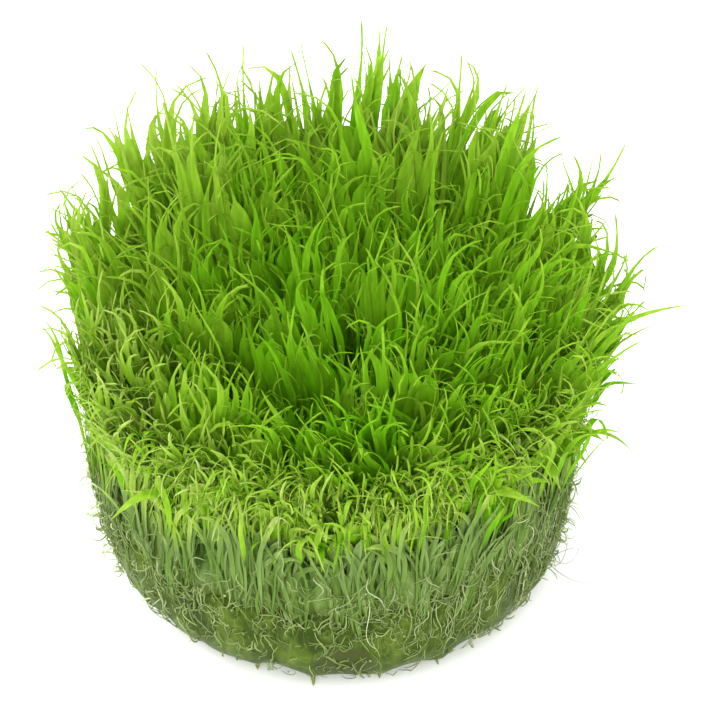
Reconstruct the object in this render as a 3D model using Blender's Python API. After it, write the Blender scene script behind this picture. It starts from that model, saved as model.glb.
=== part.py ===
"""A round clump of grass-leaved bladderwort, as it comes out of its culture cup.

A plug of culture jelly stands on its flat underside. A felt of pale runners lies on the jelly,
and 37 tufts of grass-like leaves stand on the felt in rings. The runners that poke out of the
jelly and the felt are grown from their walls.

Units are metres, +Z is up, and the origin is the middle of the jelly's flat underside.
"""

import math
import random

import bmesh
import bpy
from mathutils import Vector

MM = 0.001

# Driving dimensions
JELLY_FOOT_RADIUS = 30.6 * MM
JELLY_HEIGHT = 16.0 * MM
FELT_RADIUS = 38.0 * MM
FELT_HEIGHT = 13.0 * MM
CLUMP_HEIGHT = 68.0 * MM
TOUCH_GAP = 0.3 * MM

# Where the felt starts and ends, and where the tufts stand
FELT_FLOOR = JELLY_HEIGHT + TOUCH_GAP
FELT_TOP = FELT_FLOOR + FELT_HEIGHT
TUFT_FLOOR = FELT_TOP + TOUCH_GAP

# The leaves' lie: a leaf is an arc that starts nearly upright and bends outward, more so nearer the rim
LEAF_REACH = CLUMP_HEIGHT - TUFT_FLOOR
RIM_FOOT_LEAN = math.radians(12)
RIM_TIP_LEAN = math.radians(56)
RIM_SHORTENING = 0.75
BACK_LENGTHENING = 0.2
COMB_SWAY = 2.6 * MM
COMB_WAVELENGTH = 34.0 * MM

# One tuft: a crown that joins its leaves, and flat leaves with a diamond section
CROWN_HEIGHT = 3.0 * MM
TUFT_GAP = 0.5 * MM
LEAVES_ACROSS = 3
LEAF_WIDTH = 3.0 * MM
LEAF_THICKNESS = 0.9 * MM
NARROWEST_LEAF = 0.75
SHORTEST_LEAF = 0.8

# A leaf's two sections: share of its length, share of its width, share of its thickness
LEAF_SECTIONS = ((0.30, 0.75, 1.3), (0.66, 1.0, 1.0))

# How far the upper section and the tip may stray from over the leaf's foot, as shares of its cell
SECTION_STRAY = 0.22
TIP_STRAY = 0.44

# Rings of tufts: name, tufts in the ring, outer radius as a share of the stand's radius
STAND_RADIUS = FELT_RADIUS - 0.3 * MM
RINGS = (
    ("centre", 1, 0.165),
    ("inner", 6, 0.435),
    ("middle", 12, 0.716),
    ("outer", 18, 1.0),
)

# Tufts of the outer ring that hold one leaf longer than the rest, and how much longer
STRAY_LEAVES = {"tuft_outer_01": 1.3, "tuft_outer_06": 1.15, "tuft_outer_14": 1.2}

# Runners that poke out of the walls
RUNNER_WIDTH = 0.9 * MM
RUNNER_STEPS = 3
SHORTEST_RUNNER = 2.6 * MM
LONGEST_RUNNER = 5.6 * MM


def srgb(hex_colour):
    """Linear RGBA of an sRGB hex colour."""
    values = [int(hex_colour[i : i + 2], 16) / 255 for i in (1, 3, 5)]
    linear = [v / 12.92 if v <= 0.04045 else ((v + 0.055) / 1.055) ** 2.4 for v in values]
    return (*linear, 1.0)


def plain_material(name, hex_colour, roughness, see_through=0.0):
    """A non-metallic finish of one colour."""
    material = bpy.data.materials.new(name)
    material.use_nodes = True
    shader = material.node_tree.nodes["Principled BSDF"]
    shader.inputs["Base Color"].default_value = srgb(hex_colour)
    shader.inputs["Roughness"].default_value = roughness
    shader.inputs["Metallic"].default_value = 0.0
    shader.inputs["Transmission Weight"].default_value = see_through
    return material


def object_from(bm, name, material):
    """Turns the mesh into a named object with its material, and frees the mesh."""
    bmesh.ops.recalc_face_normals(bm, faces=bm.faces)
    mesh = bpy.data.meshes.new(name)
    bm.to_mesh(mesh)
    bm.free()
    mesh.materials.append(material)
    made = bpy.data.objects.new(name, mesh)
    bpy.context.scene.collection.objects.link(made)
    return made


# Jelly and felt


def ripple(angle, waves, seed):
    """A value from -1 to 1 that goes round the wall smoothly and meets itself."""
    first = math.sin(waves * angle + seed)
    second = math.sin((waves * 2 + 1) * angle + 2.3 * seed)
    third = math.sin((waves // 2 + 2) * angle + 0.7 * seed)
    return 0.5 * first + 0.3 * second + 0.2 * third


def wall_of_rings(bm, stations, sides, waves, depth, seed):
    """Bridges and caps a ring of points at each (height, radius, share of the ripple). Returns the wall."""
    rings = []
    for height, radius, share in stations:
        ring = []
        for side in range(sides):
            angle = 2 * math.pi * side / sides
            reach = radius + depth * share * ripple(angle, waves, seed)
            ring.append(bm.verts.new((reach * math.cos(angle), reach * math.sin(angle), height)))
        rings.append(ring)
    wall = []
    for lower, upper in zip(rings, rings[1:]):
        for side in range(sides):
            after = (side + 1) % sides
            wall.append(bm.faces.new((lower[side], lower[after], upper[after], upper[side])))
    bm.faces.new(reversed(rings[0]))
    bm.faces.new(rings[-1])
    return wall


def square_face(face, middle, forward, width):
    """Moves the face's four corners onto a square of the width that faces forward at middle."""
    across = forward.cross(Vector((0, 0, 1))).normalized()
    up = across.cross(forward)
    old_middle = face.calc_center_median()

    def turn_of(corner):
        away = corner.co - old_middle
        return math.atan2(away.dot(up), away.dot(across))

    for number, corner in enumerate(sorted(face.verts, key=turn_of)):
        turn = math.pi * (number / 2 - 0.75)
        corner.co = middle + (across * math.cos(turn) + up * math.sin(turn)) * width / 2


def grow_runner(bm, face, length, droop, twist):
    """Insets a face of the wall and draws it out into a thin thread that bends down or up, and aside."""
    foot = face.calc_center_median()
    out = Vector((foot.x, foot.y, 0)).normalized()
    aside = Vector((-out.y, out.x, 0))
    bmesh.ops.inset_individual(bm, faces=[face], thickness=RUNNER_WIDTH)
    square_face(face, foot, out, RUNNER_WIDTH * 1.6)
    for step in range(1, RUNNER_STEPS + 1):
        share = step / RUNNER_STEPS
        face = bmesh.ops.extrude_discrete_faces(bm, faces=[face])["faces"][0]
        bent = (aside * twist + Vector((0, 0, droop))) * share
        middle = foot + (out * math.sin(1.35 * share) + bent * share) * length
        forward = (out * (1 - 0.5 * share) + bent).normalized()
        square_face(face, middle, forward, RUNNER_WIDTH * (1.15 - 0.85 * share))


def runners_on(bm, wall, sides, rows, count, seed):
    """Grows runners from faces spread round the wall, in the rows of faces given."""
    dice = random.Random(seed)
    for number in range(count):
        side = (round(number * sides / count) + dice.choice((0, 1))) % sides
        face = wall[dice.choice(rows) * sides + side]
        length = dice.uniform(SHORTEST_RUNNER, LONGEST_RUNNER)
        grow_runner(bm, face, length, droop=dice.uniform(-0.35, 0.3), twist=dice.uniform(-0.9, 0.9))


def make_jelly(material):
    """The jelly plug: a flat foot, a rounded lower edge, and a scalloped wall that widens upward."""
    bm = bmesh.new()
    sides = 48
    stations = (
        (0.0, JELLY_FOOT_RADIUS, 0.6),
        (1.2 * MM, JELLY_FOOT_RADIUS + 1.9 * MM, 1.0),
        (4.5 * MM, JELLY_FOOT_RADIUS + 3.8 * MM, 1.0),
        (10.0 * MM, FELT_RADIUS - 1.8 * MM, 0.8),
        (JELLY_HEIGHT, FELT_RADIUS - 0.6 * MM, 0.5),
    )
    wall = wall_of_rings(bm, stations, sides, waves=9, depth=0.7 * MM, seed=1.4)
    runners_on(bm, wall, sides, rows=(1, 2, 3), count=14, seed=5)
    return object_from(bm, "jelly_plug", material)


def make_felt(material):
    """The felt of runners: a disc with upright flutes, where bundles of leaf stalks stand side by side."""
    bm = bmesh.new()
    sides = 64
    stations = (
        (FELT_FLOOR, FELT_RADIUS - 0.8 * MM, 0.5),
        (FELT_FLOOR + FELT_HEIGHT * 0.35, FELT_RADIUS, 1.0),
        (FELT_FLOOR + FELT_HEIGHT * 0.75, FELT_RADIUS + 0.5 * MM, 1.0),
        (FELT_TOP, FELT_RADIUS, 0.6),
    )
    wall = wall_of_rings(bm, stations, sides, waves=15, depth=0.9 * MM, seed=3.1)
    runners_on(bm, wall, sides, rows=(0, 1), count=9, seed=8)
    return object_from(bm, "runner_felt", material)


# Tufts of leaves


def rimward(foot):
    """How far out a foot point is, from 0 at the middle to 1 at the stand's rim."""
    return min(1.0, foot.length / STAND_RADIUS)


def leaf_length(foot):
    """Length of a full leaf: long in the middle, short at the rim, and longer at the back than in front."""
    towards_back = foot.y / STAND_RADIUS
    return LEAF_REACH * (1 - RIM_SHORTENING * rimward(foot) ** 12) * (1 + BACK_LENGTHENING * towards_back)


def along_leaf(foot, share):
    """The point a share of the way along the leaf that starts at foot, an arc that bends outward."""
    q = rimward(foot)
    length = leaf_length(foot)
    lean = RIM_FOOT_LEAN * q
    turn = (RIM_TIP_LEAN - RIM_FOOT_LEAN) * q**3 + 1e-4
    bend = turn / length
    end = lean + turn * share
    out = (math.cos(lean) - math.cos(end)) / bend
    rise = (math.sin(end) - math.sin(lean)) / bend
    away = foot.normalized() if foot.length > 0 else Vector((0, 0))
    wave = 2 * math.pi / COMB_WAVELENGTH
    sway = COMB_SWAY * share**1.5
    comb = Vector((math.sin(wave * foot.y + 0.8), math.sin(wave * foot.x + 2.1))) * sway
    level = foot + away * out + comb
    return Vector((level.x, level.y, TUFT_FLOOR + rise))


def ring_foot(inner, outer, start, sweep):
    """A function from (u, v), each 0 to 1, to a foot point in a sector of a ring of tufts."""

    def foot(u, v):
        inside, outside = inner + TUFT_GAP / 2, outer - TUFT_GAP / 2
        radius = inside + (outside - inside) * v
        angle = start + sweep * u + (0.5 - u) * TUFT_GAP / radius
        return Vector((radius * math.cos(angle), radius * math.sin(angle)))

    return foot


def disc_foot(radius):
    """A function from (u, v) to a foot point in a disc: a square pressed round."""

    def foot(u, v):
        x, y = 2 * u - 1, 2 * v - 1
        inside = radius - TUFT_GAP / 2
        return Vector((x * math.sqrt(1 - y * y / 2), y * math.sqrt(1 - x * x / 2))) * inside

    return foot


def leaf_section(foot, share, width, thickness, turn):
    """Four points round a leaf: the flat blade's two edges and its two faces."""
    middle = along_leaf(foot, share)
    forward = (along_leaf(foot, share + 0.01) - along_leaf(foot, share - 0.01)).normalized()
    side = forward.cross(Vector((math.cos(turn), math.sin(turn), 0.1))).normalized()
    face = side.cross(forward)
    half, thin = side * width / 2, face * thickness / 2
    return (middle - half, middle - thin, middle + half, middle + thin)


def nearest_order(base, section):
    """The section's points turned round so that each lies nearest the base corner it joins."""
    centre = sum(section, Vector()) / 4
    base_centre = sum(base, Vector()) / 4
    turns = [section[k:] + section[:k] for k in range(4)]
    turns += [turned[::-1] for turned in turns]
    wind = (base[0] - base_centre).cross(base[1] - base_centre).z

    def fit(points):
        same_way = (points[0] - centre).cross(points[1] - centre).z * wind > 0
        gap = sum(((p - centre) - (b - base_centre)).length for p, b in zip(points, base))
        return gap if same_way else gap + 1.0

    return min(turns, key=fit)


def make_tuft(name, foot, material, seed, stray=0.0):
    """A crown over the patch that foot gives, cut into cells, with a leaf drawn up from each cell."""
    dice = random.Random(seed)
    n = LEAVES_ACROSS
    crown = CROWN_HEIGHT / LEAF_REACH
    bm = bmesh.new()
    floor, top = {}, {}
    for i in range(n + 1):
        for j in range(n + 1):
            corner = foot(i / n, j / n)
            floor[i, j] = bm.verts.new((corner.x, corner.y, TUFT_FLOOR))
            top[i, j] = bm.verts.new(along_leaf(corner, crown))
    for i in range(n):
        for j in range(n):
            bm.faces.new((floor[i, j], floor[i, j + 1], floor[i + 1, j + 1], floor[i + 1, j]))
    edge = [(i, 0) for i in range(n)] + [(n, j) for j in range(n)]
    edge += [(i, n) for i in range(n, 0, -1)] + [(0, j) for j in range(n, 0, -1)]
    for here, after in zip(edge, edge[1:] + edge[:1]):
        bm.faces.new((floor[here], floor[after], top[after], top[here]))
    for i in range(n):
        for j in range(n):
            corners = (top[i, j], top[i + 1, j], top[i + 1, j + 1], top[i, j + 1])
            longest = stray if (i, j) == (1, n - 1) and stray else 1.0
            draw_leaf(bm, corners, foot, (i + 0.5) / n, (j + 0.5) / n, longest, dice)
    return object_from(bm, name, material)


def draw_leaf(bm, corners, foot, u, v, longest, dice):
    """Draws one leaf from a cell of the crown: two diamond sections and a point."""
    length = longest if longest > 1 else dice.uniform(SHORTEST_LEAF, 1.0)
    turn = dice.uniform(0, math.pi)
    width = LEAF_WIDTH * dice.uniform(NARROWEST_LEAF, 1.0)
    cell = 0.5 / LEAVES_ACROSS
    spines = [foot(u, v)]
    for stray in (SECTION_STRAY, TIP_STRAY):
        aside, along = dice.uniform(-stray, stray) * cell, dice.uniform(-stray, stray) * cell
        spines.append(foot(u + aside, v + along))
    base = [corner.co.copy() for corner in corners]
    ring = list(corners)
    for spine, (share, wide, thick) in zip(spines, LEAF_SECTIONS):
        section = leaf_section(spine, share * length, width * wide, LEAF_THICKNESS * thick, turn)
        section = nearest_order(base, section)
        following = [bm.verts.new(point) for point in section]
        for k in range(4):
            after = (k + 1) % 4
            bm.faces.new((ring[k], ring[after], following[after], following[k]))
        base, ring = list(section), following
    point = bm.verts.new(along_leaf(spines[-1], length))
    for k in range(4):
        bm.faces.new((ring[k], ring[(k + 1) % 4], point))


def make_tufts(material):
    """Every ring's tufts, named by ring and counted round from +X."""
    inner = 0.0
    for order, (ring, count, share) in enumerate(RINGS):
        outer = STAND_RADIUS * share
        sweep = 2 * math.pi / count
        for number in range(count):
            if count == 1:
                name = f"tuft_{ring}"
                patch = disc_foot(outer)
            else:
                name = f"tuft_{ring}_{number + 1:02d}"
                patch = ring_foot(inner, outer, (number - 0.5) * sweep, sweep)
            make_tuft(name, patch, material, seed=100 * order + number, stray=STRAY_LEAVES.get(name, 0.0))
        inner = outer


def main():
    for old in list(bpy.data.objects):
        bpy.data.objects.remove(old)
    make_jelly(plain_material("culture_jelly", "#74853f", 0.25, see_through=0.3))
    make_felt(plain_material("pale_runners", "#a3b574", 0.6))
    make_tufts(plain_material("green_leaf", "#5f9416", 0.5))


main()
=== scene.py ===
"""The looks of a tissue-culture clump of grass-leaved bladderwort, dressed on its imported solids.

Metres, +Z up, the origin in the middle of the jelly's flat underside, the front towards -Y.
"""

from math import atan, cos, pi, radians, sin, sqrt

import bpy
import numpy as np
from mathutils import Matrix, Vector


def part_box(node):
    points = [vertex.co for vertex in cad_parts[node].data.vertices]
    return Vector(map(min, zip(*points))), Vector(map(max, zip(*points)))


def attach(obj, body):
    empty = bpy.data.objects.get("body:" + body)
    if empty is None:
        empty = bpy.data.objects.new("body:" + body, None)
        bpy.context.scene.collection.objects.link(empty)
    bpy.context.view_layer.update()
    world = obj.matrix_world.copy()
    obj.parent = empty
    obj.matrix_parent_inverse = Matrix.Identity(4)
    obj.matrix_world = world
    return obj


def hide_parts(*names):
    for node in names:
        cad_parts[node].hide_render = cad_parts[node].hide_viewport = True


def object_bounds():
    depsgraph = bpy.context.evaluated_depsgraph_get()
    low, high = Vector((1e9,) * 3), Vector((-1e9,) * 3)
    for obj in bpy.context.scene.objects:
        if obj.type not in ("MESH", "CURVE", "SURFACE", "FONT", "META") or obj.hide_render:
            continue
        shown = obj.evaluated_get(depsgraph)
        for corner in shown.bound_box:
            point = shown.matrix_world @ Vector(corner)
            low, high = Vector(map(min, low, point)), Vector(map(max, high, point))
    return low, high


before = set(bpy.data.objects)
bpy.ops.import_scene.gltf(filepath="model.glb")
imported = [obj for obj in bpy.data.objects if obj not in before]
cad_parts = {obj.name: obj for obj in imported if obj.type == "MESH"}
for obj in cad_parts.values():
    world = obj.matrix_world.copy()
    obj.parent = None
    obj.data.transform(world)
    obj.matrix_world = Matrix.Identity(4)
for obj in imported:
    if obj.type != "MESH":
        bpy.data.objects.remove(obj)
cad_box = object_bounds()

# Culture jelly
# A clear jelly that set in the bottom of the plant's cup, so it has the cup's round, upward-widening wall.
# It came loose with the clump. Its lower edge is torn in shallow scallops, and it stands on a flat underside.

MM = 0.001
FOOT_RADIUS = 32.6 * MM
WALL_SWELL = 4.6 * MM
WALL_SWELL_HEIGHT = 3.5 * MM
WALL_FLARE = 0.06
WALL_LEFT_SHIFT = 0.8 * MM
FOOT_RIGHT_SHIFT = 1.5 * MM

SCALLOP_DEPTH = 2.0 * MM
SCALLOP_FADE = 6.0 * MM
SCALLOP_CUSPS = np.radians((-172, -150, -133, -112, -97, -78, -62, -41, -22, 4, 31, 55, 84, 108, 131, 160))
CLEAR_PATCH = (1.2 * MM, -36.9 * MM, 6.4 * MM)
CLEAR_PATCH_RADIUS = 6.0 * MM

# The rings' heights in mm, and the shares of the wall's radius by which the lowest rings close the underside
# and the highest ones round the crown.
JELLY_SIDES = 540
JELLY_RINGS = (
    0, 0, 0, 0.3, 0.7, 1.2, 1.8, 2.6, 3.5, 4.5, 5.6, 6.8, 8, 9.4, 10.8, 12.4, 14, 15.6, 17, 17.8, 18, 18
)
JELLY_FOOT = (0.4, 0.8)
JELLY_CROWN = (0.993, 0.98, 0.93, 0.5)


def wall_radius(height, angle):
    """The clump's wall: the foot's radius, a swell that grows upwards as 1 less a falling exponential, and a
    steady flare. The circle stands a little to the left, and its foot to the right: shift times cosine."""
    fall = np.exp(-height / WALL_SWELL_HEIGHT)
    shift = FOOT_RIGHT_SHIFT * fall - WALL_LEFT_SHIFT
    return FOOT_RADIUS + WALL_SWELL * (1 - fall) + WALL_FLARE * height + shift * np.cos(angle)


def scallop(angle):
    """0 at a cusp, and most half way to the next: one minus the square of the share of the way from the arc's
    middle, times the arc's own strength, from 0.1 to 1."""
    cusps = np.append(SCALLOP_CUSPS, SCALLOP_CUSPS[0] + 2 * pi)
    turned = (angle - cusps[0]) % (2 * pi) + cusps[0]
    arc = np.clip(np.searchsorted(cusps, turned, side="right") - 1, 0, len(cusps) - 2)
    share = (turned - cusps[arc]) / (cusps[arc + 1] - cusps[arc])
    strength = 0.55 + 0.45 * np.sin(arc * 2.4 + 0.6)
    return strength * (1 - (2 * share - 1) ** 2)


def unit(vectors):
    """The vectors at length 1."""
    return vectors / (np.linalg.norm(vectors, axis=-1, keepdims=True) + 1e-12)


def ease(value, low, high):
    """0 below low, 1 above high, and a smooth S between."""
    share = np.clip((value - low) / (high - low), 0, 1)
    return share * share * (3 - 2 * share)


def dapple(points, grain, seed):
    """A smooth random field from -1 to 1 that changes over about the distance grain: the sum of nine sine
    waves through space, each of its own direction, length and phase, over the root of their number."""
    dice = np.random.default_rng(seed)
    ways = unit(dice.normal(0, 1, (9, 3))) * dice.uniform(0.6, 1.5, 9)[:, None] * pi / grain
    return np.clip(np.sin(points @ ways.T + dice.uniform(0, 2 * pi, 9)).sum(axis=-1) / 3, -1, 1)


def polar(radius, angle, height):
    """Points from their radius, angle and height."""
    return np.stack([radius * np.cos(angle), radius * np.sin(angle), height + 0 * angle], axis=-1)


def wall_points(angle, height, lift):
    """Points that stand off the wall by lift."""
    return polar(wall_radius(height, angle) + lift, angle, height)


def mesh_piece(name, points, faces, material, **values):
    """A smooth mesh from arrays: faces lists arrays of quads or triangles, values are point attributes."""
    mesh = bpy.data.meshes.new(name)
    corners = np.concatenate([f.reshape(-1) for f in faces]).astype(np.int32)
    sizes = np.concatenate([np.full(len(f), f.shape[1], np.int32) for f in faces])
    mesh.vertices.add(len(points))
    mesh.vertices.foreach_set("co", points.astype(np.float32).reshape(-1))
    mesh.loops.add(len(corners))
    mesh.loops.foreach_set("vertex_index", corners)
    mesh.polygons.add(len(sizes))
    mesh.polygons.foreach_set("loop_start", np.concatenate(([0], np.cumsum(sizes)[:-1])).astype(np.int32))
    mesh.polygons.foreach_set("use_smooth", np.ones(len(sizes), bool))
    for key, value in values.items():
        stored = mesh.attributes.new(key, "FLOAT", "POINT")
        stored.data.foreach_set("value", value.astype(np.float32).reshape(-1))
    mesh.update(calc_edges=True)
    mesh.materials.append(material)
    piece = bpy.data.objects.new(name, mesh)
    bpy.context.scene.collection.objects.link(piece)
    return piece


def linear(hex_colour):
    """Linear RGBA of an sRGB hex colour."""
    share = np.array([int(hex_colour[i : i + 2], 16) for i in (1, 3, 5)]) / 255
    light = np.where(share <= 0.04045, share / 12.92, ((share + 0.055) / 1.055) ** 2.4)
    return (*light.tolist(), 1.0)


def add(tree, kind, inputs=None, stops=(), **settings):
    """Adds a shader node. settings are its properties, or its inputs' values by name. inputs maps an input's
    name or number to a socket, to a node, whose first output is meant, or to a value. stops are the positions
    and hex colours of a colour ramp."""
    node = tree.nodes.new("ShaderNode" + kind)
    for key, value in settings.items():
        if hasattr(node, key):
            setattr(node, key, value)
        else:
            node.inputs[key.replace("_", " ")].default_value = value
    for key, source in (inputs or {}).items():
        if isinstance(source, bpy.types.Node):
            source = source.outputs[0]
        if isinstance(source, bpy.types.NodeSocket):
            tree.links.new(source, node.inputs[key])
        else:
            node.inputs[key].default_value = source
    for _ in stops[2:]:
        node.color_ramp.elements.new(0.5)
    for element, (position, colour) in zip(node.color_ramp.elements if stops else (), stops):
        element.position = position
        element.color = linear(colour)
    return node


def new_material(name):
    """A node material with no nodes yet, and its tree."""
    material = bpy.data.materials.new(name)
    material.use_nodes = True
    material.node_tree.nodes.clear()
    return material, material.node_tree


def jelly_material():
    """Culture jelly: olive from the plant inside, cloudy in patches 7 mm wide, with blurred pale threads sunk
    in it and one clear patch that shows darker and greyer. Wet, but with only a soft gloss."""
    material, tree = new_material("culture_jelly_set_in_cup")
    place = add(tree, "TexCoord").outputs["Object"]
    drawn = add(tree, "Mapping", {"Vector": place}, Scale=(1.0, 1.0, 0.35))
    clouds = add(tree, "TexNoise", {"Vector": place}, Scale=1 / (7 * MM), Detail=4.0, Roughness=0.55)
    strands = add(tree, "TexNoise", {"Vector": drawn}, Scale=1 / (1.6 * MM), Detail=3.0)
    both = add(tree, "Mix", {2: clouds, 3: strands}, Factor=0.4)
    stops = ((0.36, "#223200"), (0.44, "#2d3f03"), (0.5, "#364808"), (0.56, "#40520e"), (0.66, "#4f631c"))
    cloudy = add(tree, "ValToRGB", {0: both}, stops)
    tangle = add(tree, "TexNoise", {"Vector": drawn}, Scale=1 / (3.2 * MM), Distortion=1.5)
    off_line = add(tree, "Math", {0: tangle, 1: 0.5}, operation="SUBTRACT")
    nearness = add(tree, "Math", {0: off_line}, operation="ABSOLUTE")
    thread = add(tree, "ValToRGB", {0: nearness}, ((0.0, "#a0a0a0"), (0.015, "#707070"), (0.035, "#000000")))
    sunk = {"Factor": thread, 6: cloudy, 7: linear("#697c38")}
    threaded = add(tree, "Mix", sunk, data_type="RGBA").outputs[2]
    away = add(tree, "VectorMath", {0: place, 1: CLEAR_PATCH}, operation="DISTANCE")
    outside = add(
        tree, "MapRange", {"Value": away.outputs["Value"]}, interpolation_type="SMOOTHSTEP",
        From_Min=CLEAR_PATCH_RADIUS * 0.6, From_Max=CLEAR_PATCH_RADIUS,
    )
    patched = {"Factor": outside, 6: linear("#343d15"), 7: threaded}
    body = add(tree, "Mix", patched, data_type="RGBA").outputs[2]
    bump = add(tree, "Bump", {"Height": both}, Strength=0.3, Distance=0.5 * MM)
    shader = add(
        tree, "BsdfPrincipled", {"Base Color": body, "Normal": bump}, Roughness=0.4, IOR=1.34,
        Specular_IOR_Level=0.1, Subsurface_Weight=0.15, Subsurface_Radius=(1.0, 1.0, 0.4),
        Subsurface_Scale=1.2 * MM, Coat_Weight=0.04, Coat_Roughness=0.2,
    )
    add(tree, "OutputMaterial", {"Surface": shader})
    return material


def ring_quads(rings, sides):
    """Faces between rings of points, numbered ring by ring: each point, the next round, the two above."""
    row, side = np.meshgrid(np.arange(rings - 1), np.arange(sides), indexing="ij")
    here, after = row * sides + side, row * sides + (side + 1) % sides
    return np.stack([here, after, after + sides, here + sides], axis=2).reshape(-1, 4)


def end_fan(middle, first, sides):
    """The triangles that close a ring of points, numbered from first on, with the point in the middle."""
    around = np.arange(sides)
    return np.stack([np.full(sides, middle), first + around, first + (around + 1) % sides], axis=1)


def turned_body(name, radii, heights, material, **values):
    """A closed body from grids of radius and height, rings by sides: x, y are radius by cosine, sine."""
    rings, sides = radii.shape
    angle = np.linspace(0, 2 * pi, sides, endpoint=False)
    skin = polar(radii, angle, heights).reshape(-1, 3)
    ends = np.array([[0, 0, heights[0, 0]], [0, 0, heights[-1, 0]]])
    count = rings * sides
    floor, roof = end_fan(count, 0, sides)[:, ::-1], end_fan(count + 1, count - sides, sides)
    faces = [ring_quads(rings, sides), floor, roof]
    values = {key: np.append(value.reshape(-1), (0.0, 0.0)) for key, value in values.items()}
    return mesh_piece(name, np.concatenate([skin, ends]), faces, material, **values)


def jelly_grid():
    """Radius and height over the plug's skin: the wall's radius with folds, less the scallops low down."""
    angle = np.linspace(0, 2 * pi, JELLY_SIDES, endpoint=False)
    height = np.repeat(np.array(JELLY_RINGS)[:, None] * MM, JELLY_SIDES, axis=1)
    radius = wall_radius(height, angle)
    wall = polar(radius, angle, height)
    broad_fold = dapple(wall * np.array([1, 1, 0.5]), 7 * MM, 1)
    fine_fold = dapple(wall * np.array([1, 1, 0.4]), 2.2 * MM, 2)
    fade = np.clip(1 - height / SCALLOP_FADE, 0, 1) ** 1.2
    radius = radius + (0.35 * broad_fold + 0.12 * fine_fold - 0.2) * MM
    radius = radius - scallop(angle) * SCALLOP_DEPTH * fade
    share = np.ones(len(JELLY_RINGS))
    share[: len(JELLY_FOOT)] = JELLY_FOOT
    share[-len(JELLY_CROWN) :] = JELLY_CROWN
    return radius * share[:, None], height


jelly = turned_body("jelly", *jelly_grid(), jelly_material())
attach(jelly, "root")
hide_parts("jelly_plug")

# Felt of runners
# Wet runners and the feet of the leaf stalks lie packed on the jelly, stuck together to a streaked skin.
# Between the bundles of stalks it has deep hollows, painted dark green as the shade inside the clump.

FELT_FOOT = 14.6 * MM
FELT_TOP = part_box("runner_felt")[1][2]
FELT_SIDES = 720
# The rings' heights over the foot in mm, and the shares of the radius by which the top ones close the top.
FELT_RINGS = np.concatenate([[0, 0, 0.3], np.linspace(0.6, 15.2, 34), [15.9, 16.3, 16.4, 16.4]])
FELT_CROWN = (0.97, 0.9, 0.7, 0.3)


def stalk_lean(angle):
    """How far the wall's stalks lean sideways, in radians: they are upright, but lean right on the right."""
    return 0.5 * ease(np.cos(angle), 0.1, 0.75) * ease(-np.sin(angle), -0.2, 0.4) - 0.08


def felt_material():
    """Wet runners and stalks stuck together: grey-green streaks on mid green, painted dark green shade in the
    hollows and on the set-back skin under the leaves, and olive along a ragged border with the jelly. The
    mottling is 0.9 mm wide and four times as tall."""
    material, tree = new_material("packed_wet_stalks")
    hollow, streak = (
        add(tree, "Attribute", attribute_name=name).outputs["Fac"] for name in ("hollow", "streak")
    )
    place = add(tree, "TexCoord").outputs["Object"]
    drawn = add(tree, "Mapping", {"Vector": place}, Scale=(1.0, 1.0, 0.25))
    mottle = add(tree, "TexNoise", {"Vector": drawn}, Scale=1 / (0.9 * MM), Detail=4.0)
    mixed = add(tree, "Mix", {2: streak, 3: mottle}, Factor=0.4)
    skin = add(tree, "ValToRGB", {0: mixed}, ((0.25, "#4a6224"), (0.5, "#587030"), (0.8, "#667f40")))
    # Painted shade: the dark green that the hollow value lays into the hollows and onto the set-back skin
    # under the leaves.
    deep = add(tree, "ValToRGB", {0: mottle}, ((0.35, "#1f4a02"), (0.65, "#3c6c0c")))
    hollow_shaded_skin = add(tree, "Mix", {"Factor": hollow, 6: skin, 7: deep}, data_type="RGBA").outputs[2]
    height = add(tree, "SeparateXYZ", {"Vector": place}).outputs["Z"]
    ragged = add(tree, "Math", {0: mottle, 1: 9 * MM, 2: height}, operation="MULTIPLY_ADD")
    above = add(
        tree, "MapRange", {"Value": ragged}, interpolation_type="SMOOTHSTEP",
        From_Min=FELT_FOOT + 6.5 * MM, From_Max=FELT_FOOT + 11.5 * MM,
    )
    olive = add(tree, "ValToRGB", {0: mixed}, ((0.3, "#3a4a10"), (0.7, "#627233")))
    faded = {"Factor": above, 6: olive, 7: hollow_shaded_skin}
    colour = add(tree, "Mix", faded, data_type="RGBA").outputs[2]
    bump = add(tree, "Bump", {"Height": mottle}, Strength=0.5, Distance=0.4 * MM)
    shader = add(
        tree, "BsdfPrincipled", {"Base Color": colour, "Normal": bump}, Roughness=0.5,
        Specular_IOR_Level=0.12,
    )
    add(tree, "OutputMaterial", {"Surface": shader})
    return material


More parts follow.
